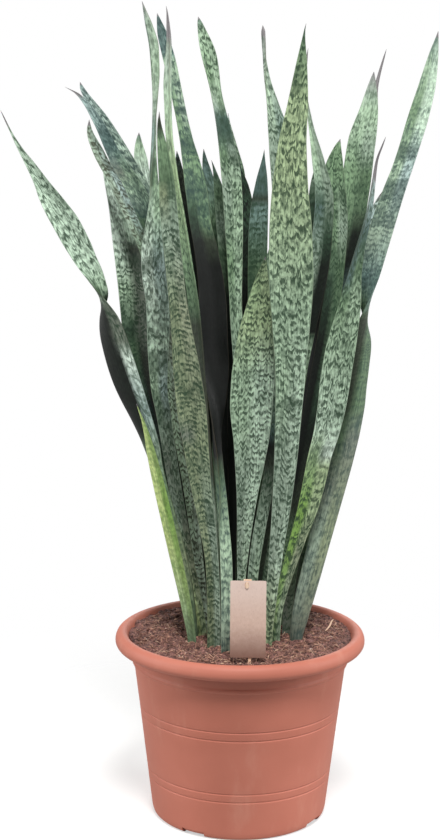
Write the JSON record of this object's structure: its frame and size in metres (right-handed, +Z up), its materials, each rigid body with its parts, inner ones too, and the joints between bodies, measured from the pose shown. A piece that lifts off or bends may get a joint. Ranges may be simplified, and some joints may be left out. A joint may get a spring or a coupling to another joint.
{
  "type": "potted ceylon bowstring hemp",
  "caption": "Clump of upright banded strap leaves growing from coir soil in a rimmed nursery pot with a card label on a pick.",
  "frame": {"origin": "centre of the pot's underside, on the surface it stands on", "axes": "+Z up along the pot's axis, -Y to the front where the label stands, +X to the right"},
  "size_m": [0.4389, 0.35, 0.863],
  "materials": {
    "pot": "matte terracotta-coloured moulded plastic",
    "soil": "loose reddish-brown coir",
    "card": "plain kraft card",
    "pick": "light orange-brown plastic",
    "leaf": "waxy sage green with irregular dark green cross bands"
  },
  "bodies": {
    "root": {"pot": "pot", "soil": "soil", "label_card": "card", "label_pick": "pick", "leaf_left_1": "leaf", "leaf_left_2": "leaf", "leaf_left_3": "leaf", "leaf_left_4": "leaf", "leaf_left_5": "leaf", "leaf_left_6": "leaf", "leaf_left_7": "leaf", "leaf_left_8": "leaf", "leaf_front_1": "leaf", "leaf_front_2": "leaf", "leaf_front_3": "leaf", "leaf_front_4": "leaf", "leaf_front_5": "leaf", "leaf_front_6": "leaf", "leaf_middle_1": "leaf", "leaf_middle_2": "leaf", "leaf_middle_3": "leaf", "leaf_middle_4": "leaf", "leaf_middle_5": "leaf", "leaf_middle_6": "leaf", "leaf_middle_7": "leaf", "leaf_middle_8": "leaf", "leaf_right_1": "leaf", "leaf_right_2": "leaf", "leaf_right_3": "leaf", "leaf_right_4": "leaf", "leaf_right_5": "leaf", "leaf_right_6": "leaf", "leaf_right_7": "leaf", "leaf_back_1": "leaf", "leaf_back_2": "leaf", "leaf_back_3": "leaf", "leaf_back_4": "leaf", "leaf_back_5": "leaf", "leaf_back_6": "leaf", "leaf_back_7": "leaf", "leaf_back_8": "leaf", "leaf_back_9": "leaf", "leaf_back_10": "leaf", "leaf_back_11": "leaf", "leaf_back_12": "leaf", "leaf_back_13": "leaf", "leaf_back_14": "leaf", "leaf_inner_1": "leaf", "leaf_inner_2": "leaf"}
  },
  "joints": []
}
